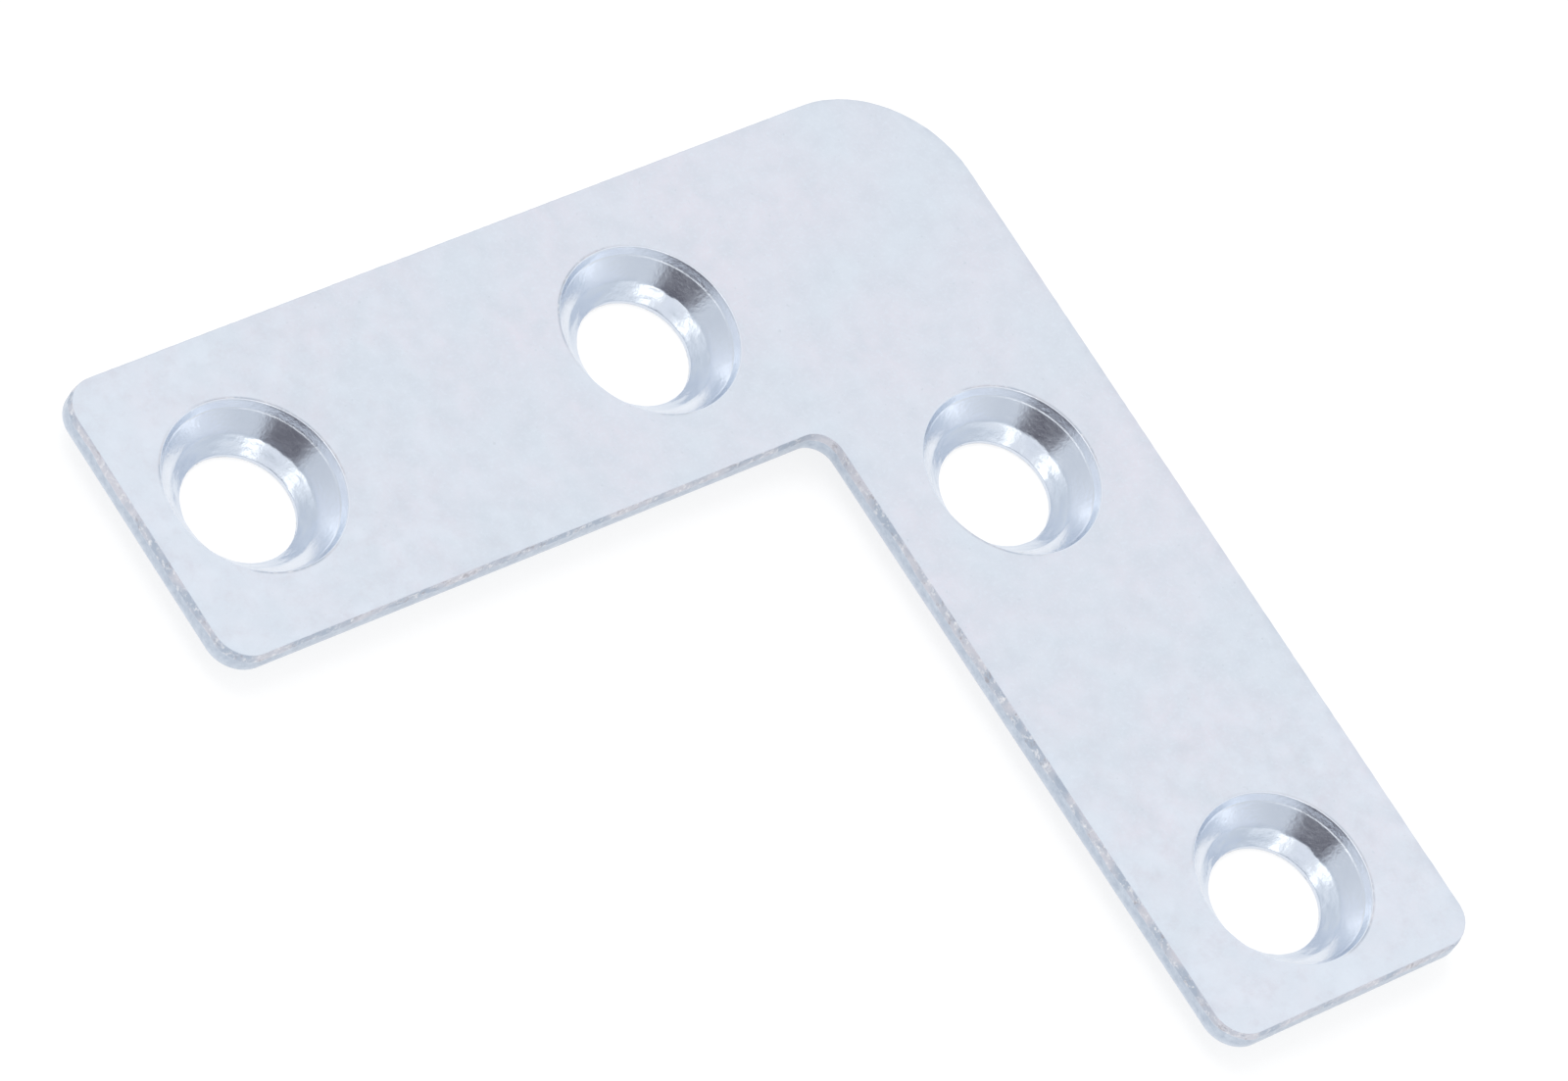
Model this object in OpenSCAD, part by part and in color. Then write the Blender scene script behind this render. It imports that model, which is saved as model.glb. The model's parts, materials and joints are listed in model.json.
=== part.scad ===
// Flat corner angle bracket, blanked and pressed from zinc-plated steel sheet.
// One L-shaped plate with a rounded outer corner and two dimpled screw holes in each arm.
// Origin: where the arms' centre lines cross, on the back face.
// The arms run along +X and +Y, and the screw heads sink in from +Z.

/* [Arms] */
// Length of each arm, over the outside of the corner
arm_l = 40; // [36:0.5:80]
// Width of each arm
arm_w = 12.3; // [11:0.1:20]
// Thickness of the sheet
plate_t = 1; // [0.8:0.05:2]

/* [Corners] */
// Radius of the outer corner
elbow_r = 5; // [1:0.1:8]
// Radius of the corners at the free end of each arm
end_r = 1.4; // [0.5:0.1:4]
// Radius of the inside corner between the arms
notch_r = 1; // [0.4:0.1:3]

/* [Sheared edge] */
// Radius that the blanking die leaves on the lower edge
roll_r = 0.14; // [0.05:0.01:0.3]
// Height of the smooth band of the cut, from the back face up
burnish_h = 0.55; // [0.35:0.01:0.7]
// How far the torn band above it leans in by the front face
tear_in = 0.06; // [0.02:0.01:0.15]

/* [Screw holes] */
// Number of holes in each arm
holes_per_arm = 2; // [1:1:2]
// From the free end of an arm to the centre of its first hole
end_to_hole = 5; // [4.8:0.1:8]
// From one hole centre to the next in the same arm
hole_pitch = 18.5; // [9.5:0.1:20]
// Radius of the straight through hole
hole_r = 2.25; // [1.5:0.05:2.5]
// Height of the straight wall of the hole
land_h = 0.2; // [0.15:0.05:0.4]

/* [Dimples] */
// How far each dimple stands out of the back face
dimple_h = 0.95; // [0.75:0.05:1.2]
// Height of the flare above the straight wall
flare_h = 0.55; // [0.3:0.05:0.7]
// How much wider the flare is at its top, on the radius
flare_out = 0.52; // [0.3:0.02:0.7]
// How much wider the seat cone is at its mouth, on the radius
cone_out = 0.57; // [0.45:0.01:0.9]
// Width of the narrow ledge around the mouth of the cone
ledge_w = 0.06; // [0.06:0.01:0.3]
// Depth of the ledge below the front face
ledge_d = 0.31; // [0.1:0.01:0.4]
// Radius of the bend from the ledge into the seat cone
mouth_bend_r = 0.06; // [0.02:0.01:0.08]
// Width of the slope from the front face down to the ledge
rim_slope_w = 0.18; // [0.05:0.01:0.3]
// Width of the metal left around the hole at the tip of a dimple
tip_w = 0.95; // [0.7:0.05:1.1]
// How far outside the rim the dimple leaves the back face
root_out = 0.3; // [0.1:0.05:0.4]
// Radius of the dimple's outer edge at its tip
tip_bend_r = 0.2; // [0.1:0.05:0.3]
// Radius of the bend where the dimple leaves the back face
root_bend_r = 0.3; // [0.1:0.05:0.5]

/* [Hidden] */
$fn = 96;
// Margin by which a cutting shape passes the face that it cuts
over = 0.4;
// Distance from the back-face origin to the outer edge of each arm
half_w = arm_w / 2;
// Radii of the hole's steps, from the throat out to the rim on the front face
throat_r = hole_r + flare_out;
mouth_r = throat_r + cone_out;
ledge_r = mouth_r + ledge_w;
rim_r = ledge_r + rim_slope_w;
// Heights of the same steps above the back face
tip_z = -dimple_h;
flare_z = tip_z + land_h;
throat_z = flare_z + flare_h;
ledge_z = plate_t - ledge_d;
// Outside of the dimple behind the sheet
tip_r = hole_r + tip_w;
root_r = rim_r + root_out;
// Places of the hole centres along an arm, from the origin
hole_at = [for (i = [0 : holes_per_arm - 1]) arm_l - half_w - end_to_hole - i * hole_pitch];

// Flat steps that make up each small bend of the pressed section
bend_steps = 6;

function unit(v) = v / norm(v);
function turned(v, angle) = [v.x * cos(angle) - v.y * sin(angle), v.x * sin(angle) + v.y * cos(angle)];

// Points of the arc of radius r that rounds the corner k, coming from a and going on to b
function bend(a, k, b, r) =
  let (
    u = unit(a - k),
    v = unit(b - k),
    half_angle = acos(u * v) / 2,
    centre = k + unit(u + v) * r / sin(half_angle),
    start = k + u * r / tan(half_angle) - centre,
    turn = (2 * half_angle - 180) * sign(cross(u, v))
  )
  [for (i = [0 : bend_steps]) centre + turned(start, turn * i / bend_steps)];

// One arm seen from above, along +X from the outer corner, with its free end rounded
module arm_outline() {
  square([arm_l - end_r, arm_w]);
  translate([0, end_r]) square([arm_l, arm_w - 2 * end_r]);
  for (y = [end_r, arm_w - end_r]) translate([arm_l - end_r, y]) circle(end_r);
}

// The whole outline, with its outer corner at the origin
module plate_outline() {
  difference() {
    union() {
      arm_outline();
      mirror([1, -1]) arm_outline();
    }
    difference() {
      square(elbow_r);
      translate([elbow_r, elbow_r]) circle(elbow_r);
    }
  }
  difference() {
    translate([arm_w, arm_w]) square(notch_r);
    translate([arm_w + notch_r, arm_w + notch_r]) circle(notch_r);
  }
}

// Section of what the shearing takes off a square-cut wall: x runs out of the wall, y up from the back
module edge_waste() {
  difference() {
    translate([-roll_r, -over]) square([roll_r + over, roll_r + over]);
    translate([-roll_r, roll_r]) circle(roll_r);
  }
  lean = tear_in / (plate_t - burnish_h);
  polygon([
    [0, burnish_h],
    [over, burnish_h],
    [over, plate_t + over],
    [-tear_in - lean * over, plate_t + over]
  ]);
}

// The waste along a straight wall that ends at x, y after running for len in the direction heading
module straight_waste(x, y, heading, len) {
  translate([x, y, 0]) rotate([90, 0, heading - 90]) linear_extrude(len) edge_waste();
}

// The waste around a quarter turn of radius r about x, y, starting at angle from
module corner_waste(x, y, r, from) {
  translate([x, y, 0]) rotate([0, 0, from]) rotate_extrude(angle = 90)
    translate([r, 0]) edge_waste();
}

// The waste along the walls of the arm that runs along +X
module arm_waste() {
  straight_waste(arm_l - end_r, 0, 0, arm_l - end_r - elbow_r);
  corner_waste(arm_l - end_r, end_r, end_r, -90);
  straight_waste(arm_l, arm_w - end_r, 90, arm_w - 2 * end_r);
  corner_waste(arm_l - end_r, arm_w - end_r, end_r, 0);
  straight_waste(arm_w + notch_r, arm_w, 180, arm_l - end_r - arm_w - notch_r);
}

// The flat L with its sheared edge, before the holes are pressed
module blank() {
  difference() {
    linear_extrude(plate_t) plate_outline();
    arm_waste();
    mirror([1, -1, 0]) arm_waste();
    corner_waste(elbow_r, elbow_r, elbow_r, 180);
    translate([arm_w + notch_r, arm_w + notch_r, 0]) rotate([0, 0, 180]) rotate_extrude(angle = 90)
      translate([notch_r, 0]) mirror([1, 0]) edge_waste();
  }
}

// Section of the metal pushed out of the back face around one hole
module dimple_section() {
  tip_centre = [0, tip_z];
  tip_edge = [tip_r, tip_z];
  root = [root_r, 0];
  sheet = [root_r + root_bend_r, 0];
  root_bend = bend(tip_edge, root, sheet, root_bend_r);
  polygon(concat(
    [[0, plate_t / 2], tip_centre],
    bend(tip_centre, tip_edge, root, tip_bend_r),
    root_bend,
    [[root_bend[bend_steps].x, plate_t / 2]]
  ));
}

// Section of the hole: straight wall, flare, seat cone, narrow ledge and the slope up to the rim
module hole_section() {
  throat = [throat_r, throat_z];
  mouth = [mouth_r, ledge_z];
  ledge = [ledge_r, ledge_z];
  polygon(concat(
    [[0, tip_z - over], [hole_r, tip_z - over], [hole_r, flare_z], throat],
    bend(throat, mouth, ledge, mouth_bend_r),
    [ledge, [rim_r, plate_t], [rim_r, plate_t + over], [0, plate_t + over]]
  ));
}

// Puts its children at every hole centre, from the origin on the arms' centre lines
module at_holes() {
  for (d = hole_at) {
    translate([d, 0, 0]) children();
    translate([0, d, 0]) children();
  }
}

module corner_plate() {
  color([0.85, 0.88, 0.92]) difference() {
    union() {
      translate([-half_w, -half_w, 0]) blank();
      at_holes() rotate_extrude() dimple_section();
    }
    at_holes() rotate_extrude() hole_section();
  }
}

corner_plate();
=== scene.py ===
"""Corner angle bracket: a flat L-shaped plate of zinc-plated sheet steel with dimpled screw holes.

Lengths inside the mesh code are in millimetres, and the finished mesh is in metres.
"""
import json
import math
from collections import namedtuple

import bpy
import numpy as np
from bpy.props import FloatProperty, FloatVectorProperty, IntProperty, PointerProperty
from mathutils import Matrix, Vector
from mathutils.geometry import delaunay_2d_cdt


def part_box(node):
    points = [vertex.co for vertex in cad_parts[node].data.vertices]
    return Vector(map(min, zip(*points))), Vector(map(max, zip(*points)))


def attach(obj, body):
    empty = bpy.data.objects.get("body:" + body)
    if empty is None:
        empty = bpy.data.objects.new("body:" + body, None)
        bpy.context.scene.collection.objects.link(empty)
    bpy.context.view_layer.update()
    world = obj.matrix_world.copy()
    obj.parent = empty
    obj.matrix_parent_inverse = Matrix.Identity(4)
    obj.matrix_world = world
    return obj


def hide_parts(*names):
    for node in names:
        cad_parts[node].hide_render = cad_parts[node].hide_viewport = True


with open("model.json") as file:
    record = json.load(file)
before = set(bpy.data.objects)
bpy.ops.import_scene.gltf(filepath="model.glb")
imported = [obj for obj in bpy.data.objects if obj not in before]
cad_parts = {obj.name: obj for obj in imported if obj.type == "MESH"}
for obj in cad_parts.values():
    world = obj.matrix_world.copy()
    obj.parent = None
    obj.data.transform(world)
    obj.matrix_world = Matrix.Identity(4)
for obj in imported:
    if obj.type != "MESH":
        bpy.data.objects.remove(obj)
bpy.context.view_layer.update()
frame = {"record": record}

bl_info = {
    "name": "Corner Angle Bracket",
    "version": (1, 0, 0),
    "blender": (4, 5, 0),
    "location": "3D View > Sidebar > Bracket",
    "description": "Builds a flat zinc-plated corner bracket and a plain studio around it",
    "category": "Add Mesh",
}

MM = 0.001
LOW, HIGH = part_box("corner_plate")
BORES = [m for m in frame["record"]["mounts"] if m["kind"] == "bore"]

# Seeds of the random draws for the cut edge and for the seats
EDGE_SEED, SEAT_SEED = 11, 5
# Edges that turn by more than this are shaded sharp
SHARP_ANGLE = math.radians(38)
# Finish weights that the mesh carries for the material; the pressing weight also carries painted shade
# deep in the holes
FINISHES = ("torn", "pressed", "burnished")


# Property groups

class PlateSizes(bpy.types.PropertyGroup):
    """The blank: an L cut from sheet"""

    arm_length: FloatProperty(
        name="Arm length", description="Length of each arm over the outside of the corner",
        default=HIGH.x - LOW.x, unit="LENGTH")
    arm_width: FloatProperty(
        name="Arm width", description="Width of each arm", default=-2 * LOW.x, unit="LENGTH")
    thickness: FloatProperty(
        name="Thickness", description="Thickness of the sheet", default=HIGH.z, unit="LENGTH")
    elbow_radius: FloatProperty(
        name="Outer corner", description="Radius of the outer corner", default=5 * MM, unit="LENGTH")
    end_radius: FloatProperty(
        name="Arm end corners", description="Radius of the corners at the free ends",
        default=1.4 * MM, unit="LENGTH")
    notch_radius: FloatProperty(
        name="Inside corner", description="Radius of the corner between the arms",
        default=1 * MM, unit="LENGTH")
    roll_radius: FloatProperty(
        name="Die roll", description="Radius that the die leaves on the lower edge",
        default=0.14 * MM, unit="LENGTH")
    burnish_height: FloatProperty(
        name="Burnished band", description="Height of the smooth band of the cut",
        default=0.55 * MM, unit="LENGTH")
    tear_depth: FloatProperty(
        name="Torn band lean", description="How far the torn band leans in by the front face",
        default=0.06 * MM, unit="LENGTH")
    burr_height: FloatProperty(
        name="Burr", description="Height of the fine burr along the front edge",
        default=0.018 * MM, unit="LENGTH")


class HoleSizes(bpy.types.PropertyGroup):
    """One dimpled screw hole"""

    radius: FloatProperty(
        name="Hole radius", description="Radius of the straight hole",
        default=BORES[0]["dims"]["r_mm"] * MM, unit="LENGTH")
    land_height: FloatProperty(
        name="Straight wall", description="Height of the straight wall of the hole",
        default=BORES[0]["dims"]["length_mm"] * MM, unit="LENGTH")
    dimple_height: FloatProperty(
        name="Dimple height", description="How far the dimple stands out of the back face",
        default=-LOW.z, unit="LENGTH")
    flare_height: FloatProperty(
        name="Flare height", description="Height of the flare above the straight wall",
        default=0.515 * MM, unit="LENGTH")
    flare_out: FloatProperty(
        name="Flare width", description="Extra radius at the top of the flare",
        default=0.55 * MM, unit="LENGTH")
    cone_out: FloatProperty(
        name="Seat width", description="Extra radius at the mouth of the seat cone",
        default=0.58 * MM, unit="LENGTH")
    ledge_width: FloatProperty(
        name="Ledge width", description="Width of the narrow ledge around the seat cone",
        default=0.045 * MM, unit="LENGTH")
    ledge_depth: FloatProperty(
        name="Ledge depth", description="Depth of the ledge's lower side below the front face",
        default=0.42 * MM, unit="LENGTH")
    rim_slope: FloatProperty(
        name="Rim slope", description="Width of the slope from the front face down to the ledge",
        default=0.16 * MM, unit="LENGTH")
    tip_width: FloatProperty(
        name="Tip width", description="Width of metal around the hole at the dimple's tip",
        default=0.95 * MM, unit="LENGTH")
    root_out: FloatProperty(
        name="Root offset", description="How far outside the rim the dimple leaves the back face",
        default=0.3 * MM, unit="LENGTH")
    dish_width: FloatProperty(
        name="Dish width", description="Width of the soft dip that the press leaves around the rim",
        default=1.1 * MM, unit="LENGTH")
    dish_depth: FloatProperty(
        name="Dish depth", description="Depth of that dip at the rim", default=0.045 * MM, unit="LENGTH")


class Plating(bpy.types.PropertyGroup):
    """Colours of the plated steel, linear; the deep colour is partly painted shade"""

    face: FloatVectorProperty(
        name="Face", description="Plating on the rolled faces", subtype="COLOR",
        default=(0.74, 0.795, 0.868))
    warm: FloatVectorProperty(
        name="Warm cast", description="Faint warm patches in the plating", subtype="COLOR",
        default=(0.785, 0.785, 0.86))
    burnish: FloatVectorProperty(
        name="Burnished cut", description="Smooth band of the sheared wall", subtype="COLOR",
        default=(0.445, 0.505, 0.595))
    tear: FloatVectorProperty(
        name="Torn cut", description="Rough band of the sheared wall", subtype="COLOR",
        default=(0.625, 0.63, 0.685))
    seat: FloatVectorProperty(
        name="Pressed seat", description="Smoothed plating of the seat cones", subtype="COLOR",
        default=(0.79, 0.83, 0.895))
    # Partly thinner plating deep in the hole, partly painted shade of the recess below the seat
    deep: FloatVectorProperty(
        name="Deep in the hole", description="Thinner plating of the flare below the seat",
        subtype="COLOR", default=(0.675, 0.73, 0.815))


class Studio(bpy.types.PropertyGroup):
    """Camera and light"""

    azimuth: FloatProperty(
        name="Azimuth", description="Direction from the plate to the camera, from +X towards +Y",
        default=math.radians(24.667), subtype="ANGLE")
    elevation: FloatProperty(
        name="Elevation", description="Height of the camera above the plate's plane",
        default=math.radians(50.873), subtype="ANGLE")
    roll: FloatProperty(
        name="Roll", description="Turn of the camera about its own axis",
        default=math.radians(37.113), subtype="ANGLE")
    distance: FloatProperty(
        name="Distance", description="From the camera to the point that it aims at",
        default=423.8 * MM, unit="LENGTH")
    aim: FloatVectorProperty(
        name="Aim", description="Point that the camera looks at", subtype="TRANSLATION",
        default=(9.862 * MM, 9.189 * MM, 0))
    lens: FloatProperty(name="Lens", description="Focal length in millimetres", default=266.4)
    sky: FloatProperty(name="Sky", description="Strength of the white surroundings", default=1.0)


class Detail(bpy.types.PropertyGroup):
    """How finely the mesh is made"""

    edge_step: FloatProperty(
        name="Edge step", description="Spacing of points along the cut edge",
        default=0.095 * MM, unit="LENGTH")
    face_step: FloatProperty(
        name="Face step", description="Spacing of points on the flat faces",
        default=0.5 * MM, unit="LENGTH")
    round_points: IntProperty(
        name="Round points", description="Points around each hole", default=144, min=48)


# Small helpers

def unit(vector):
    return vector / np.linalg.norm(vector)


def heading(turn):
    """Unit vector in the plate's plane, at an angle in radians from +X towards +Y."""
    return np.array([math.cos(turn), math.sin(turn)])


def circle(count):
    """Unit vectors evenly round a circle, as rows."""
    turn = np.linspace(0, 2 * math.pi, count, endpoint=False)
    return np.column_stack([np.cos(turn), np.sin(turn)])


def smooth_step(value):
    value = np.clip(value, 0, 1)
    return value * value * (3 - 2 * value)


def ripple(along, length, cell, rng):
    """Smooth random values from -1 to 1 along a closed loop, about one per cell."""
    count = max(4, round(length / cell))
    lattice = rng.uniform(-1, 1, count)
    place = along / length * count
    low = np.floor(place).astype(int)
    mix = smooth_step(place - low)
    return lattice[low % count] * (1 - mix) + lattice[(low + 1) % count] * mix


def dapple(down, columns, tall, wide, rng):
    """Smooth random values from -1 to 1 for rows at the given distances, each row a closed loop.

    One random value covers tall millimetres down the rows and wide columns along them.
    """
    lattice = rng.uniform(-1, 1, (math.ceil(down[-1] / tall) + 2, max(4, round(columns / wide))))
    across = np.arange(columns) / columns * lattice.shape[1]
    rise = down / tall
    left, low = np.floor(across).astype(int), np.floor(rise).astype(int)
    mix, lift = smooth_step(across - left), smooth_step(rise - low)[:, None]
    right = (left + 1) % lattice.shape[1]
    lower = lattice[low][:, left] * (1 - mix) + lattice[low][:, right] * mix
    upper = lattice[low + 1][:, left] * (1 - mix) + lattice[low + 1][:, right] * mix
    return lower * (1 - lift) + upper * lift


def rounded(corners, radii, steps):
    """Polyline through corners, with an arc of the given radius at each inner corner."""
    points = [np.array(corners[0], float)]
    for before, corner, after, radius in zip(corners, corners[1:], corners[2:], radii):
        corner = np.array(corner, float)
        to_before = unit(np.array(before) - corner)
        to_after = unit(np.array(after) - corner)
        half = math.acos(np.clip(to_before @ to_after, -1, 1)) / 2
        centre = corner + unit(to_before + to_after) * radius / math.sin(half)
        start = corner + to_before * radius / math.tan(half) - centre
        end = corner + to_after * radius / math.tan(half) - centre
        for share in np.linspace(0, 1, steps + 1):
            points.append(centre + unit(start * (1 - share) + end * share) * radius)
    points.append(np.array(corners[-1], float))
    return np.array(points)


def resampled(points, longest):
    """The same polyline with its long stretches cut into pieces of at most the given length."""
    out = [points[0]]
    for start, end in zip(points, points[1:]):
        pieces = max(1, math.ceil(np.linalg.norm(end - start) / longest))
        out += [start + (end - start) * k / pieces for k in range(1, pieces + 1)]
    return np.array(out)


# The blank's outline

# Fewest steps round one corner of the outline
CORNER_STEPS = 6


def plate_outline(plate, step):
    """Points, outward directions and distances along the L, anticlockwise from above, and its length."""
    half = plate.arm_width / MM / 2
    reach = plate.arm_length / MM - half
    elbow, end, notch = (r / MM for r in (plate.elbow_radius, plate.end_radius, plate.notch_radius))
    # Centre, radius, first direction and sweep of each corner, the last two in degrees
    arcs = [
        ((elbow - half, elbow - half), elbow, 180, 90),
        ((reach - end, end - half), end, -90, 90),
        ((reach - end, half - end), end, 0, 90),
        ((half + notch, half + notch), notch, 270, -90),
        ((half - end, reach - end), end, 0, 90),
        ((end - half, reach - end), end, 90, 90),
    ]
    points, outward = [], []
    for index, (centre, radius, first, sweep) in enumerate(arcs):
        count = max(CORNER_STEPS, round(radius * math.radians(abs(sweep)) / step))
        for turn in np.radians(np.linspace(first, first + sweep, count + 1)):
            direction = heading(turn)
            points.append(np.array(centre) + radius * direction)
            outward.append(direction * math.copysign(1, sweep))
        next_centre, next_radius, next_first, _ = arcs[(index + 1) % len(arcs)]
        goal = np.array(next_centre) + next_radius * heading(math.radians(next_first))
        start, facing = points[-1], outward[-1]
        pieces = round(np.linalg.norm(goal - start) / step)
        for k in range(1, pieces):
            points.append(start + (goal - start) * k / pieces)
            outward.append(facing)
    points, outward = np.array(points), np.array(outward)
    gaps = np.linalg.norm(np.roll(points, -1, axis=0) - points, axis=1)
    along = np.concatenate([[0], np.cumsum(gaps)[:-1]])
    return points, outward, along, gaps.sum()


# The sheared wall

# Steps round the die roll
ROLL_STEPS = 5
# How burnished the die roll looks
ROLL_BURNISH = 0.6
# Rows of the smooth band, as shares of its height
SMOOTH_SHARES = (0.35, 0.7, 0.96)
# How far in the smooth band lies
SMOOTH_INSET = 0.006
# Mean height of the break line above the smooth band's nominal height
BREAK_RISE = 0.07
# Rows of the torn band
TORN_ROWS = 7
# Height from the break line to the first row of the torn band
TORN_FOOT = 0.02
# Height from its last row to the foot of the burr
TORN_HEAD = 0.012
# How far in the torn band starts
TORN_INSET = 0.012
# How far its roughness reaches in and out
TORN_ROUGH = 0.022
# Mean height of the burr's crest, as a share of the burr's height
CREST_MEAN = 0.55
# Rows over the burr: how far in from the torn band, share of the crest's height, how torn it looks
BURR_ROWS = ((0.008, 0.7, 0.5), (0.022, 1, 0.2), (0.05, 0.35, 0.0))


def wall_rows(plate, points, outward, along, length):
    """Rows of the sheared wall from the back face up: places, and how torn and burnished each is."""
    rng = np.random.default_rng(EDGE_SEED)
    thick, roll = plate.thickness / MM, plate.roll_radius / MM
    burnish, tear, burr = plate.burnish_height / MM, plate.tear_depth / MM, plate.burr_height / MM

    def wave(height, cell):
        return height * ripple(along, length, cell, rng)

    break_line = burnish + BREAK_RISE + wave(0.08, cell=1.6) + wave(0.04, cell=0.35)
    streak = wave(0.004, cell=0.25)
    rows = []
    for turn in np.radians(np.linspace(0, 90, ROLL_STEPS + 1)):
        inset = np.full(len(along), roll * (1 - math.sin(turn)))
        height = np.full(len(along), roll * (1 - math.cos(turn)))
        rows.append((inset, height, 0.0, ROLL_BURNISH))
    for share in SMOOTH_SHARES:
        rows.append((SMOOTH_INSET - streak * share, roll + (break_line - roll) * share, 0.0, 1.0))
    top = thick - burr - TORN_HEAD
    for share in np.linspace(0, 1, TORN_ROWS):
        rough = wave(0.5, cell=0.17) + wave(0.5, cell=0.4)
        swell = 1 - abs(2 * share - 1) ** 3
        inset = TORN_INSET + tear * share + TORN_ROUGH * swell * rough
        height = break_line + TORN_FOOT + (top - break_line - TORN_FOOT) * share
        rows.append((inset, height, 1.0, 0.0))
    crest = burr * (CREST_MEAN + wave(1 - CREST_MEAN, cell=0.3))
    lean = tear + wave(0.006, cell=0.2)
    for inset, share, torn in BURR_ROWS:
        rows.append((lean + inset, thick - burr + crest * share, torn, 0.0))
    return [
        (np.column_stack([points - outward * inset[:, None], height]), torn, smooth)
        for inset, height, torn, smooth in rows]


# The pressed holes

# Rows on the dished face, as distances outside the rim
SHOULDER = (0.17, 0.145, 0.12)
# Rise of the ledge for each unit of its width
LEDGE_GRADE = 1.13
# Radii of the bends at the rim, ledge, mouth, throat and foot of the flare
INSIDE_BENDS = (0.07, 0.07, 0.07, 0.7, 0.05)
# Steps in each of those bends
INSIDE_STEPS = 5
# Longest step down the inside of the hole
INSIDE_STRETCH = 0.085
# Height above the dimple's tip at which the inside of the hole ends
INSIDE_END = 0.06
# Radii of the bends at the tip's inner edge, its outer edge and the dimple's root
OUTSIDE_BENDS = (0.04, 0.2, 0.3)
# Steps in each of those bends
OUTSIDE_STEPS = 4
# Longest step up the outside of the dimple
OUTSIDE_STRETCH = 0.2
# Width of the back face that belongs to the section, beyond the root
BEYOND_ROOT = 0.3
# The two rows at the top of the rim's bend, which carry a faint broken dark line in the torn colour
RIM_LINE_ROWS = (3, 4)
# Share of the waves that the cone has, and what the flare adds to it
CONE_WAVES, FLARE_WAVES = 0.2, 2.4
# Height over which the cut below the flare sets in
CUT_FADE = 0.12
# How far above the throat the deep zone starts, with its stronger waves and its darker colour that is
# partly painted shade, and the height over which it sets in
DEEP_RISE, DEEP_FADE = 0.2, 0.3
# The pressing weight on the cone; it is 1 in the flare, where it also brings the painted shade of the
# deep colour
CONE_PRESSED = 0.5
# How torn the cut below the flare looks, and how much of the flare's deep colour, partly painted shade,
# it lacks
CUT_TORN, CUT_PLAIN = 0.12, 0.7

# A hole's section: its points, how many of them are inside the hole, the rim's radius, and the
# heights of the throat and of the flare's foot
Section = namedtuple("Section", "points inner rim_r throat_z flare_z")


def dish_rise(hole, away):
    """Height above the rim of the dished face, at a distance outside the rim."""
    return hole.dish_depth / MM * smooth_step(away / (hole.dish_width / MM))


def hole_section(plate, hole):
    """Section of one hole, from the dished face down the seat and round to the back face."""
    radius = hole.radius / MM
    tip_z = -hole.dimple_height / MM
    flare_z = tip_z + hole.land_height / MM
    throat = (radius + hole.flare_out / MM, flare_z + hole.flare_height / MM)
    mouth = (throat[0] + hole.cone_out / MM, (plate.thickness - hole.ledge_depth) / MM)
    ledge = (mouth[0] + hole.ledge_width / MM, mouth[1] + LEDGE_GRADE * hole.ledge_width / MM)
    rim_z = (plate.thickness - plate.burr_height - hole.dish_depth) / MM
    rim = (ledge[0] + hole.rim_slope / MM, rim_z)
    end = (radius, tip_z + INSIDE_END)
    tip = (radius + hole.tip_width / MM, tip_z)
    root_r = rim[0] + hole.root_out / MM
    shoulder = [(rim[0] + away, rim_z + dish_rise(hole, away)) for away in SHOULDER]
    inner = rounded(
        [shoulder[-1], rim, ledge, mouth, throat, (radius, flare_z), end], INSIDE_BENDS, INSIDE_STEPS)
    outer = rounded(
        [end, (radius, tip_z), tip, (root_r, 0), (root_r + BEYOND_ROOT, 0)],
        OUTSIDE_BENDS, OUTSIDE_STEPS)
    inner = np.concatenate([shoulder[:-1], resampled(inner, INSIDE_STRETCH)])
    outer = resampled(outer, OUTSIDE_STRETCH)
    return Section(np.concatenate([inner, outer[1:]]), len(inner), rim[0], throat[1], flare_z)


def hole_rows(section, centre, count, rng):
    """Rows of points round one hole, with how torn each row is and its pressing weight, which in the
    flare also carries painted shade.
    """
    around = circle(count)
    steps = np.linalg.norm(np.diff(section.points, axis=0), axis=1)
    down = np.concatenate([[0], np.cumsum(steps)])
    waves = 0.005 * dapple(down, count, tall=0.36, wide=5, rng=rng)
    waves += 0.003 * dapple(down, count, tall=0.15, wide=3, rng=rng)
    ragged = 0.02 * dapple(down, count, tall=0.3, wide=2, rng=rng)
    # A faint broken dark line along the rim, drawn in the torn colour
    rim_line = np.clip(1.6 * dapple(down[:1], count, tall=1, wide=14, rng=rng)[0], 0, 0.9)
    tangents = np.gradient(section.points, axis=0)
    rows = []
    for k, ((radius, height), tangent) in enumerate(zip(section.points, tangents)):
        into = unit(np.array([tangent[1], -tangent[0]]))
        in_seat = float(RIM_LINE_ROWS[-1] < k < section.inner)
        cut = in_seat * float(smooth_step((section.flare_z - height) / CUT_FADE))
        deep = in_seat * float(smooth_step((section.throat_z + DEEP_RISE - height) / DEEP_FADE))
        push = in_seat * (waves[k] * (CONE_WAVES + FLARE_WAVES * deep) + cut * ragged[k])
        flat = centre + around * (radius + push * into[0])[:, None]
        rise = height + push * into[1] * (1 - cut)
        torn = CUT_TORN * cut + rim_line * float(k in RIM_LINE_ROWS)
        # Pressing weight; above the cone's value it brings the deep colour, which is partly painted
        # shade
        pressed = in_seat * (CONE_PRESSED + (1 - CONE_PRESSED) * deep * (1 - CUT_PLAIN * cut))
        rows.append((np.column_stack([flat, rise]), torn, pressed))
    return rows


# Flat faces between the outline and the holes

# Rings of points on the dished face, as distances outside the rim
RINGS = (0.25, 0.37, 0.53, 0.77, 1.02)
# Distances outside the rim at which the grids of the front and back face begin
FRONT_CLEAR, BACK_CLEAR = 1.25, 0.9
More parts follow.
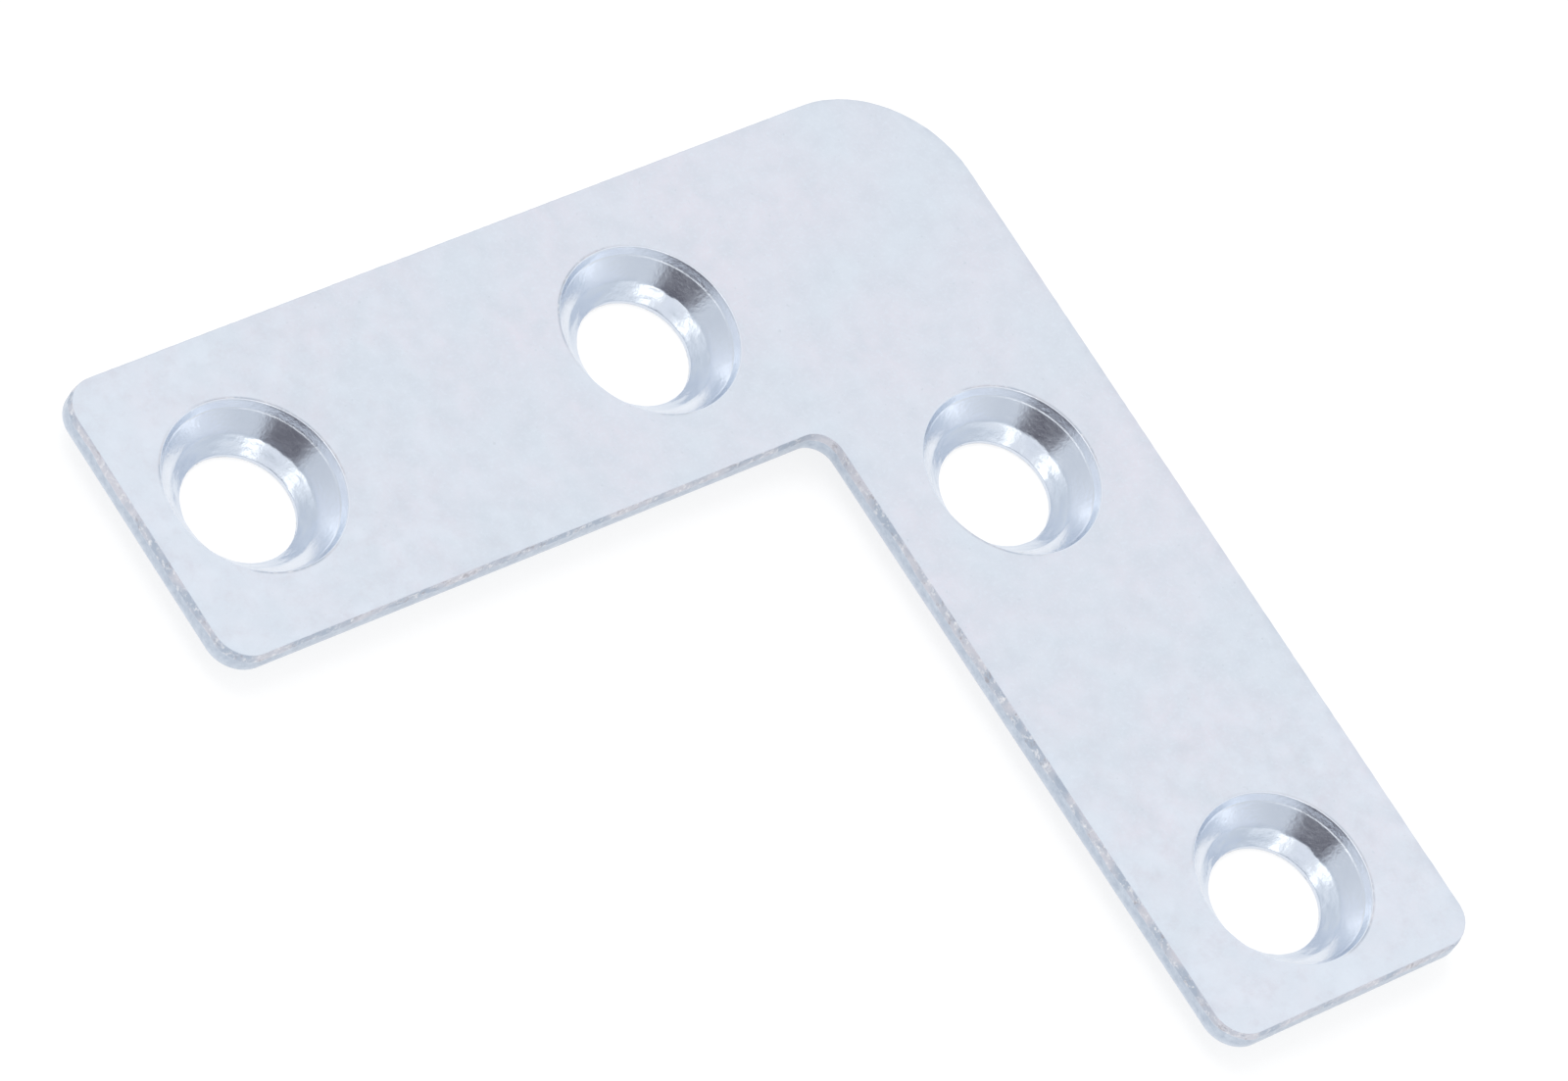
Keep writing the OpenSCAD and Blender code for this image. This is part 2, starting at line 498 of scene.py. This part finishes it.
# Distance between a grid and the outline, as a share of the grid's step
EDGE_CLEAR = 0.55
# Arguments of the triangulation: fill the convex hull, tolerance, say where each point came from
WHOLE_HULL, TOLERANCE, WITH_ORIGINS = 0, 1e-7, True


def inside(points, loop):
    """Which points lie inside a closed loop, by counting crossings."""
    x0, y0 = loop[:, 0], loop[:, 1]
    x1, y1 = np.roll(x0, -1), np.roll(y0, -1)
    px, py = points[:, 0, None], points[:, 1, None]
    span = (y0 > py) != (y1 > py)
    rise = np.where(y1 == y0, 1, y1 - y0)
    cross = px < (x1 - x0) * (py - y0) / rise + x0
    return np.sum(span & cross, axis=1) % 2 == 1


def face_points(rim, holes, keep_out, step):
    """Points of a hexagonal grid inside the rim, clear of it and of every hole."""
    low, high = rim.min(axis=0), rim.max(axis=0)
    grid = []
    for row, y in enumerate(np.arange(low[1], high[1], step * math.sqrt(0.75))):
        xs = np.arange(low[0] + step * (0.25 + 0.5 * (row % 2)), high[0], step)
        grid += [(x, y) for x in xs]
    grid = np.array(grid)
    grid = grid[inside(grid, rim)]
    nearest = np.array([np.min(np.sum((rim - p) ** 2, axis=1)) for p in grid])
    grid = grid[nearest > (EDGE_CLEAR * step) ** 2]
    for centre in holes:
        grid = grid[np.linalg.norm(grid - centre, axis=1) > keep_out]
    return grid


def flat_face(rim, holes, extra):
    """Triangles between the rim and the holes, as indices into rim + holes + extra."""
    groups = [rim, *holes]
    flat = np.concatenate([*groups, extra])
    edges, start = [], 0
    for group in groups:
        count = len(group)
        edges += [(start + k, start + (k + 1) % count) for k in range(count)]
        start += count
    places = [Vector(p) for p in flat]
    found = delaunay_2d_cdt(places, edges, [], WHOLE_HULL, TOLERANCE, WITH_ORIGINS)
    triangles, origins = found[2], found[3]
    back = [names[0] if names else -1 for names in origins]
    faces = np.array([[back[v] for v in face] for face in triangles if len(face) == 3])
    if faces.min() < 0:
        raise RuntimeError("The flat face has crossing edges")
    middle = flat[faces].mean(axis=1)
    keep = inside(middle, rim)
    for group in holes:
        keep &= ~inside(middle, group)
    return faces[keep]


def face_height(plate, hole, rim_r, flat, holes):
    """Height of the front face: level, with a soft dip around each hole."""
    level = np.full(len(flat), (plate.thickness - plate.burr_height) / MM)
    for centre in holes:
        away = np.linalg.norm(flat - centre, axis=1) - rim_r
        level -= hole.dish_depth / MM - dish_rise(hole, away)
    return level


# The plate's mesh

class MeshParts:
    """Collects vertices, faces and the three finish weights of one closed mesh."""

    def __init__(self):
        self.places, self.faces, self.count = [], [], 0
        self.finish = {label: [] for label in FINISHES}

    def add(self, places, torn=0.0, pressed=0.0, burnished=0.0):
        """Adds points and returns their indices."""
        size = len(places)
        self.places.append(places)
        for label, value in zip(FINISHES, (torn, pressed, burnished)):
            self.finish[label].append(np.broadcast_to(value, size))
        self.count += size
        return np.arange(self.count - size, self.count)

    def flat(self, row):
        """Points of a row, seen from above."""
        return np.concatenate(self.places)[row, :2]

    def bands(self, rows):
        """Joins closed rows of the same length with quads, each row to the next."""
        for lower, upper in zip(rows, rows[1:]):
            nxt = np.roll(np.arange(len(lower)), -1)
            self.faces += np.column_stack([lower, lower[nxt], upper[nxt], upper]).tolist()

    def cap(self, rim, holes, extra, heights, downward=False):
        """Closes a face with triangles between its rim row and hole rows, through extra points."""
        extra_ids = self.add(np.column_stack([extra, heights]))
        found = flat_face(self.flat(rim), [self.flat(row) for row in holes], extra)
        faces = np.concatenate([rim, *holes, extra_ids])[found]
        self.faces += (faces[:, ::-1] if downward else faces).tolist()

    def build(self, name):
        mesh = bpy.data.meshes.new(name)
        mesh.from_pydata((np.concatenate(self.places) * MM).tolist(), [], self.faces)
        for label, store in self.finish.items():
            layer = mesh.attributes.new(label, "FLOAT", "POINT")
            layer.data.foreach_set("value", np.concatenate(store).astype(np.float32))
        mesh.validate()
        mesh.shade_smooth()
        mesh.set_sharp_from_angle(angle=SHARP_ANGLE)
        return mesh


def plate_mesh(plate, hole, detail):
    """The whole plate as one closed mesh."""
    parts = MeshParts()
    points, outward, along, length = plate_outline(plate, detail.edge_step / MM)
    wall = [
        parts.add(places, torn=torn, burnished=smooth)
        for places, torn, smooth in wall_rows(plate, points, outward, along, length)]
    parts.bands(wall)

    section = hole_section(plate, hole)
    centres = [np.array(m["pos_m"][:2]) / MM for m in BORES]
    rng = np.random.default_rng(SEAT_SEED)
    fronts, backs = [], []
    for centre in centres:
        rows = [
            parts.add(places, torn=torn, pressed=pressed)
            for places, torn, pressed in hole_rows(section, centre, detail.round_points, rng)]
        parts.bands(rows)
        fronts.append(rows[0])
        backs.append(rows[-1])

    rim = parts.flat(wall[-1])
    ring = circle(detail.round_points * 2 // 3)
    rings = [centre + (section.rim_r + away) * ring for centre in centres for away in RINGS]
    grid = face_points(rim, centres, section.rim_r + FRONT_CLEAR, detail.face_step / MM)
    extra = np.concatenate([*rings, grid])
    extra = extra[inside(extra, rim)]
    parts.cap(wall[-1], fronts, extra, face_height(plate, hole, section.rim_r, extra, centres))

    rim = parts.flat(wall[0])
    grid = face_points(rim, centres, section.rim_r + BACK_CLEAR, detail.face_step * 2 / MM)
    parts.cap(wall[0], backs, grid, np.zeros(len(grid)), downward=True)
    return parts.build("bracket_plate")


# Materials

class Nodes:
    """Short calls for building one node tree."""

    def __init__(self, owner):
        owner.use_nodes = True
        self.tree = owner.node_tree
        self.tree.nodes.clear()

    def add(self, kind, inputs=(), **settings):
        """A node with its settings, and its inputs linked or set, by name or by number."""
        node = self.tree.nodes.new(kind)
        for name, value in settings.items():
            setattr(node, name, value)
        for name, value in dict(inputs).items():
            if isinstance(value, bpy.types.NodeSocket):
                self.tree.links.new(value, node.inputs[name])
            else:
                node.inputs[name].default_value = value
        return node

    def noise(self, vector, size, detail, rough):
        """Noise whose features are about size metres across."""
        return self.add("ShaderNodeTexNoise", {
            "Vector": vector, "Scale": 1 / size, "Detail": detail, "Roughness": rough}).outputs["Fac"]

    def remap(self, value, low, high, new_low=0.0, new_high=1.0):
        return self.add("ShaderNodeMapRange", {
            "Value": value, "From Min": low, "From Max": high, "To Min": new_low, "To Max": new_high,
        }).outputs["Result"]

    def patches(self, vector, size, detail, rough, start, full, most=1.0):
        """Patches that fade in where the noise passes start and come to most where it passes full."""
        return self.remap(self.noise(vector, size, detail, rough), start, full, 0.0, most)

    def blend(self, share, first, second):
        """Two colours mixed; inputs 6 and 7 and output 2 are the node's colour sockets."""
        node = self.add("ShaderNodeMix", {0: share, 6: first, 7: second}, data_type="RGBA")
        return node.outputs[2]

    def maths(self, operation, first, second):
        return self.add("ShaderNodeMath", {0: first, 1: second}, operation=operation).outputs[0]


def opaque(colour, factor=1.0):
    """A colour made darker or lighter, up to white, for a colour socket."""
    return (*(min(1, c * factor) for c in colour), 1)


def zinc_plating(plating):
    """Bright zinc on steel: mottled on the faces, blue-grey on the burnished cut, rough where torn."""
    material = bpy.data.materials.new("zinc_plating")
    nodes = Nodes(material)
    place = nodes.add("ShaderNodeTexCoord").outputs["Object"]
    torn, pressed, burnished = (
        nodes.add("ShaderNodeAttribute", attribute_name=label).outputs["Fac"] for label in FINISHES)

    # Rolled faces: warm clouds, a dull bloom, bright grain and dark specks
    cloud = nodes.patches(place, 4.5 * MM, 3.0, 0.6, start=0.38, full=0.64)
    bloom = nodes.patches(place, 1.1 * MM, 3.0, 0.6, start=0.35, full=0.68)
    grain = nodes.noise(place, 0.16 * MM, 2.0, 0.6)
    face = nodes.blend(cloud, opaque(plating.face), opaque(plating.warm))
    face = nodes.blend(nodes.maths("MULTIPLY", bloom, 0.6), face, opaque(plating.face, 0.93))
    bright = opaque(plating.face, 1.06)
    face = nodes.blend(nodes.remap(grain, 0.5, 0.8, 0.0, 0.6), face, bright)
    specks = nodes.patches(place, 0.2 * MM, 1.0, 0.5, start=0.29, full=0.19, most=0.7)
    face = nodes.blend(specks, face, opaque(plating.face, 0.88))

    # Towards the arm ends: brighter, with stains and pale blots
    reach = nodes.add("ShaderNodeVectorMath", {0: place}, operation="LENGTH").outputs["Value"]
    face = nodes.blend(nodes.remap(reach, 24 * MM, 34 * MM, 0.0, 0.5), face, bright)
    ends = nodes.remap(reach, 14 * MM, 27 * MM)
    stains = nodes.patches(place, 0.8 * MM, 4.0, 0.7, start=0.5, full=0.7, most=0.4)
    face = nodes.blend(nodes.maths("MULTIPLY", stains, ends), face, opaque(plating.warm, 0.87))
    blots = nodes.patches(place, 1.5 * MM, 3.0, 0.6, start=0.5, full=0.34, most=0.4)
    face = nodes.blend(nodes.maths("MULTIPLY", blots, ends), face, opaque(plating.face, 1.1))

    # Smooth cut, seat and flare; the flare's darker deep colour is partly painted shade
    scored = nodes.patches(place, 0.3 * MM, 3.0, 0.7, start=0.3, full=0.7, most=0.5)
    smooth_cut = nodes.blend(scored, opaque(plating.burnish), opaque(plating.face))
    face = nodes.blend(burnished, face, smooth_cut)
    face = nodes.blend(nodes.remap(pressed, 0.0, CONE_PRESSED), face, opaque(plating.seat))
    face = nodes.blend(nodes.remap(pressed, CONE_PRESSED, 1.0), face, opaque(plating.deep))

    # Torn cut: smears of the smooth cut's colour, dark cracks and bright flecks
    flecks = nodes.patches(place, 0.2 * MM, 3.0, 0.65, start=0.52, full=0.74)
    smears = nodes.patches(place, 1.3 * MM, 2.0, 0.5, start=0.4, full=0.6)
    rough_cut = nodes.blend(smears, opaque(plating.tear), opaque(plating.burnish))
    cracks = nodes.patches(place, 0.42 * MM, 3.0, 0.7, start=0.42, full=0.32, most=0.6)
    crack, fleck = (0.38, 0.35, 0.37), (0.85, 0.85, 0.87)
    rough_cut = nodes.blend(cracks, rough_cut, opaque(crack))
    rough_cut = nodes.blend(flecks, rough_cut, opaque(fleck))
    colour = nodes.blend(torn, face, rough_cut)

    # Pressed metal is smoother and torn metal rougher
    rough = nodes.remap(bloom, 0.0, 1.0, 0.30, 0.36)
    rough = nodes.maths("SUBTRACT", rough, nodes.remap(pressed, 0.0, CONE_PRESSED, 0.0, 0.11))
    rough = nodes.maths("ADD", rough, nodes.maths("MULTIPLY", torn, 0.12))
    fine = nodes.add("ShaderNodeBump", {
        "Height": grain, "Strength": nodes.remap(pressed, 0.0, CONE_PRESSED, 0.25, 0.8),
        "Distance": 0.01 * MM}).outputs["Normal"]
    chips = nodes.maths("MULTIPLY", flecks, torn)
    normal = nodes.add("ShaderNodeBump", {
        "Height": chips, "Strength": 0.35, "Distance": 0.02 * MM, "Normal": fine}).outputs["Normal"]
    shader = nodes.add("ShaderNodeBsdfPrincipled", {
        "Base Color": colour, "Metallic": 1.0, "Roughness": rough, "Normal": normal})
    nodes.add("ShaderNodeOutputMaterial", {"Surface": shader.outputs["BSDF"]})
    return material


def studio_paper():
    """White paper floor: it shows white to the camera and to gloss, and keeps a pale shadow."""
    reflected, glow = (0.28, 0.28, 0.28), 0.74
    material = bpy.data.materials.new("studio_paper")
    nodes = Nodes(material)
    rays = nodes.add("ShaderNodeLightPath").outputs
    seen = nodes.maths("MAXIMUM", rays["Is Camera Ray"], rays["Is Glossy Ray"])
    seen = nodes.maths("MAXIMUM", seen, rays["Is Transmission Ray"])
    paper = nodes.add("ShaderNodeBsdfDiffuse", {"Color": opaque(reflected)})
    lift = nodes.add("ShaderNodeEmission", {
        "Color": (1, 1, 1, 1), "Strength": nodes.maths("MULTIPLY", seen, glow)})
    both = nodes.add("ShaderNodeAddShader", {0: paper.outputs[0], 1: lift.outputs[0]})
    nodes.add("ShaderNodeOutputMaterial", {"Surface": both.outputs[0]})
    return material


def glowing_card(name, shade):
    """Card that glows evenly in its own shade instead of being lit, and fades out towards its edges."""
    material = bpy.data.materials.new(name)
    nodes = Nodes(material)
    cloth = nodes.add("ShaderNodeEmission", {"Color": (*shade, 1), "Strength": 1.0})
    clear = nodes.add("ShaderNodeBsdfTransparent")
    fade = nodes.add("ShaderNodeAttribute", attribute_name="fade").outputs["Fac"]
    shown = nodes.add("ShaderNodeMixShader", {0: fade, 1: clear.outputs[0], 2: cloth.outputs[0]})
    nodes.add("ShaderNodeOutputMaterial", {"Surface": shown.outputs[0]})
    return material


# Stage

# Colours of the tent by the sine of the elevation
TENT = (
    (0.0, (0.96, 0.98, 1)),
    (0.3, (0.94, 0.97, 1)),
    (0.5, (0.94, 0.97, 1)),
    (0.66, (0.97, 0.98, 1)),
    (0.75, (1, 1, 1)),
    (0.85, (0.98, 0.98, 0.99)),
    (0.91, (0.87, 0.88, 0.91)),
    (1.0, (0.78, 0.79, 0.82)),
)

# Half the floor's side and its gap below the dimples, in metres
FLOOR_HALF, FLOOR_GAP = 3.0, 0.01 * MM

# Glowing cards around the plate. Turn from the camera's azimuth, elevation, width and height are in
# degrees, distance is in metres, and soft is the share of the half card over which its edges fade.
Card = namedtuple("Card", "name turn elevation width height distance shade soft")
WINDOW = (2.2, 2.15, 2.05)
CARDS = (
    Card("room", 0, 6, 330, 64, 1.0, (0.54, 0.58, 0.65), 1.0),
    Card("dark_flag", 1.5, 16, 70, 32, 0.9, (0.1, 0.095, 0.12), 0.5),
    Card("camera_grey", 0, 47, 34, 18, 0.7, (1.0, 1.0, 1.03), 0.5),
    Card("left_window", 38, 41.5, 32, 13, 0.8, WINDOW, 0.5),
    Card("right_window", -40, 40.5, 36, 13, 0.8, WINDOW, 0.5),
)
CARD_STEPS = 24


def surroundings(strength):
    """Light tent: bluish round the horizon, white at the shoulder and greyer overhead."""
    world = bpy.data.worlds.new("light_tent")
    nodes = Nodes(world)
    toward = nodes.add("ShaderNodeTexCoord").outputs["Generated"]
    height = nodes.add("ShaderNodeSeparateXYZ", {"Vector": toward}).outputs["Z"]
    ramp = nodes.add("ShaderNodeValToRGB", {"Fac": height})
    elements = ramp.color_ramp.elements
    for place, shade in TENT[1:-1]:
        elements.new(place)
    for element, (place, shade) in zip(elements, TENT):
        element.position, element.color = place, opaque(shade)
    tent = nodes.add("ShaderNodeBackground", {"Color": ramp.outputs["Color"], "Strength": strength})
    nodes.add("ShaderNodeOutputWorld", {"Surface": tent.outputs[0]})
    return world


def new_object(name, data):
    """An object in the scene."""
    piece = bpy.data.objects.new(name, data)
    bpy.context.scene.collection.objects.link(piece)
    return piece


def compass(azimuth, elevation):
    """Unit vector towards an azimuth and elevation in radians."""
    flat = math.cos(elevation)
    return Vector((flat * math.cos(azimuth), flat * math.sin(azimuth), math.sin(elevation)))


def add_floor(ground, material):
    mesh = bpy.data.meshes.new("studio_floor")
    half = FLOOR_HALF
    corners = [(x, y, ground) for x, y in ((-half, -half), (half, -half), (half, half), (-half, half))]
    mesh.from_pydata(corners, [], [(0, 1, 2, 3)])
    mesh.materials.append(material)
    piece = new_object("studio_floor", mesh)


def add_card(card, azimuth):
    """A curved card around the plate, seen only by gloss."""
    middle = azimuth + math.radians(card.turn)
    places, fades, faces = [], [], []
    for row in range(CARD_STEPS + 1):
        for column in range(CARD_STEPS + 1):
            across, rise = 2 * column / CARD_STEPS - 1, 2 * row / CARD_STEPS - 1
            turn = middle + math.radians(card.width / 2 * across)
            elevation = math.radians(card.elevation + card.height / 2 * rise)
            places.append(compass(turn, elevation) * card.distance)
            edge = min(1 - abs(across), 1 - abs(rise)) / card.soft
            fades.append(float(smooth_step(edge)))
    for row in range(CARD_STEPS):
        first = row * (CARD_STEPS + 1)
        for column in range(first, first + CARD_STEPS):
            faces.append((column, column + 1, column + CARD_STEPS + 2, column + CARD_STEPS + 1))
    mesh = bpy.data.meshes.new(card.name)
    mesh.from_pydata([tuple(p) for p in places], [], faces)
    mesh.attributes.new("fade", "FLOAT", "POINT").data.foreach_set("value", fades)
    mesh.materials.append(glowing_card(card.name + "_cloth", card.shade))
    piece = new_object(card.name, mesh)
    for kind in ("camera", "diffuse", "shadow", "transmission", "volume_scatter"):
        setattr(piece, "visible_" + kind, False)


def add_camera(studio):
    back = compass(studio.azimuth, studio.elevation)
    level = Vector((0, 0, 1)).cross(back).normalized()
    rise = back.cross(level)
    right = level * math.cos(studio.roll) + rise * math.sin(studio.roll)
    up = back.cross(right)
    data = bpy.data.cameras.new("camera")
    data.lens = studio.lens
    data.sensor_width = 36
    data.clip_start, data.clip_end = 0.01, 10
    camera = new_object("camera", data)
    axes = Matrix((right, up, back)).transposed().to_4x4()
    place = Vector(studio.aim) + back * studio.distance
    camera.matrix_world = Matrix.Translation(place) @ axes
    bpy.context.scene.camera = camera


def add_softbox(azimuth, elevation, distance, size, power):
    """A square lamp that gloss doesn't see, facing the plate."""
    data = bpy.data.lights.new("softbox", "AREA")
    data.shape = "SQUARE"
    data.size = size
    data.energy = power
    lamp = new_object("softbox", data)
    away = compass(azimuth, elevation)
    facing = away.to_track_quat("Z", "Y").to_matrix().to_4x4()
    lamp.matrix_world = Matrix.Translation(away * distance) @ facing
    lamp.visible_glossy = False


# Operators

class BRACKET_OT_plate(bpy.types.Operator):
    """Build the bracket's plate and its plating"""

    bl_idname = "bracket.plate"
    bl_label = "Bracket plate"

    def execute(self, context):
        scene = context.scene
        mesh = plate_mesh(scene.bracket_plate, scene.bracket_hole, scene.bracket_detail)
        mesh.materials.append(zinc_plating(scene.bracket_plating))
        piece = new_object("bracket_plate", mesh)
        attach(piece, "root")
        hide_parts("corner_plate")
        return {"FINISHED"}


class BRACKET_OT_stage(bpy.types.Operator):
    """Set up the floor, the light and the camera"""

    bl_idname = "bracket.stage"
    bl_label = "Studio"

    def execute(self, context):
        scene = context.scene
        studio = scene.bracket_studio
        scene.view_settings.view_transform = "Standard"
        scene.world = surroundings(studio.sky)
        add_floor(LOW.z - FLOOR_GAP, studio_paper())
        for card in CARDS:
            add_card(card, studio.azimuth)
        add_softbox(
            azimuth=studio.azimuth - math.radians(115), elevation=math.radians(62),
            distance=0.7, size=0.5, power=2.0)
        add_camera(studio)
        return {"FINISHED"}


class BRACKET_PT_panel(bpy.types.Panel):
    """Sizes, finish and studio of the bracket"""

    bl_idname = "BRACKET_PT_panel"
    bl_label = "Corner bracket"
    bl_space_type = "VIEW_3D"
    bl_region_type = "UI"
    bl_category = "Bracket"

    def draw(self, context):
        layout = self.layout
        for operator in OPERATORS:
            layout.operator(operator.bl_idname)
        for name in GROUPS:
            box = layout.box()
            group = getattr(context.scene, name)
            for key in group.__annotations__:
                box.prop(group, key)


GROUPS = {
    "bracket_plate": PlateSizes,
    "bracket_hole": HoleSizes,
    "bracket_plating": Plating,
    "bracket_studio": Studio,
    "bracket_detail": Detail,
}
OPERATORS = (BRACKET_OT_plate, BRACKET_OT_stage)


def register():
    for cls in (*GROUPS.values(), *OPERATORS, BRACKET_PT_panel):
        bpy.utils.register_class(cls)
    for name, group in GROUPS.items():
        setattr(bpy.types.Scene, name, PointerProperty(type=group))


def unregister():
    for name in GROUPS:
        delattr(bpy.types.Scene, name)
    for cls in (BRACKET_PT_panel, *reversed(OPERATORS), *reversed(GROUPS.values())):
        bpy.utils.unregister_class(cls)


def main():
    register()
    bpy.ops.bracket.plate()
    bpy.ops.bracket.stage()


if __name__ == "__main__":
    main()
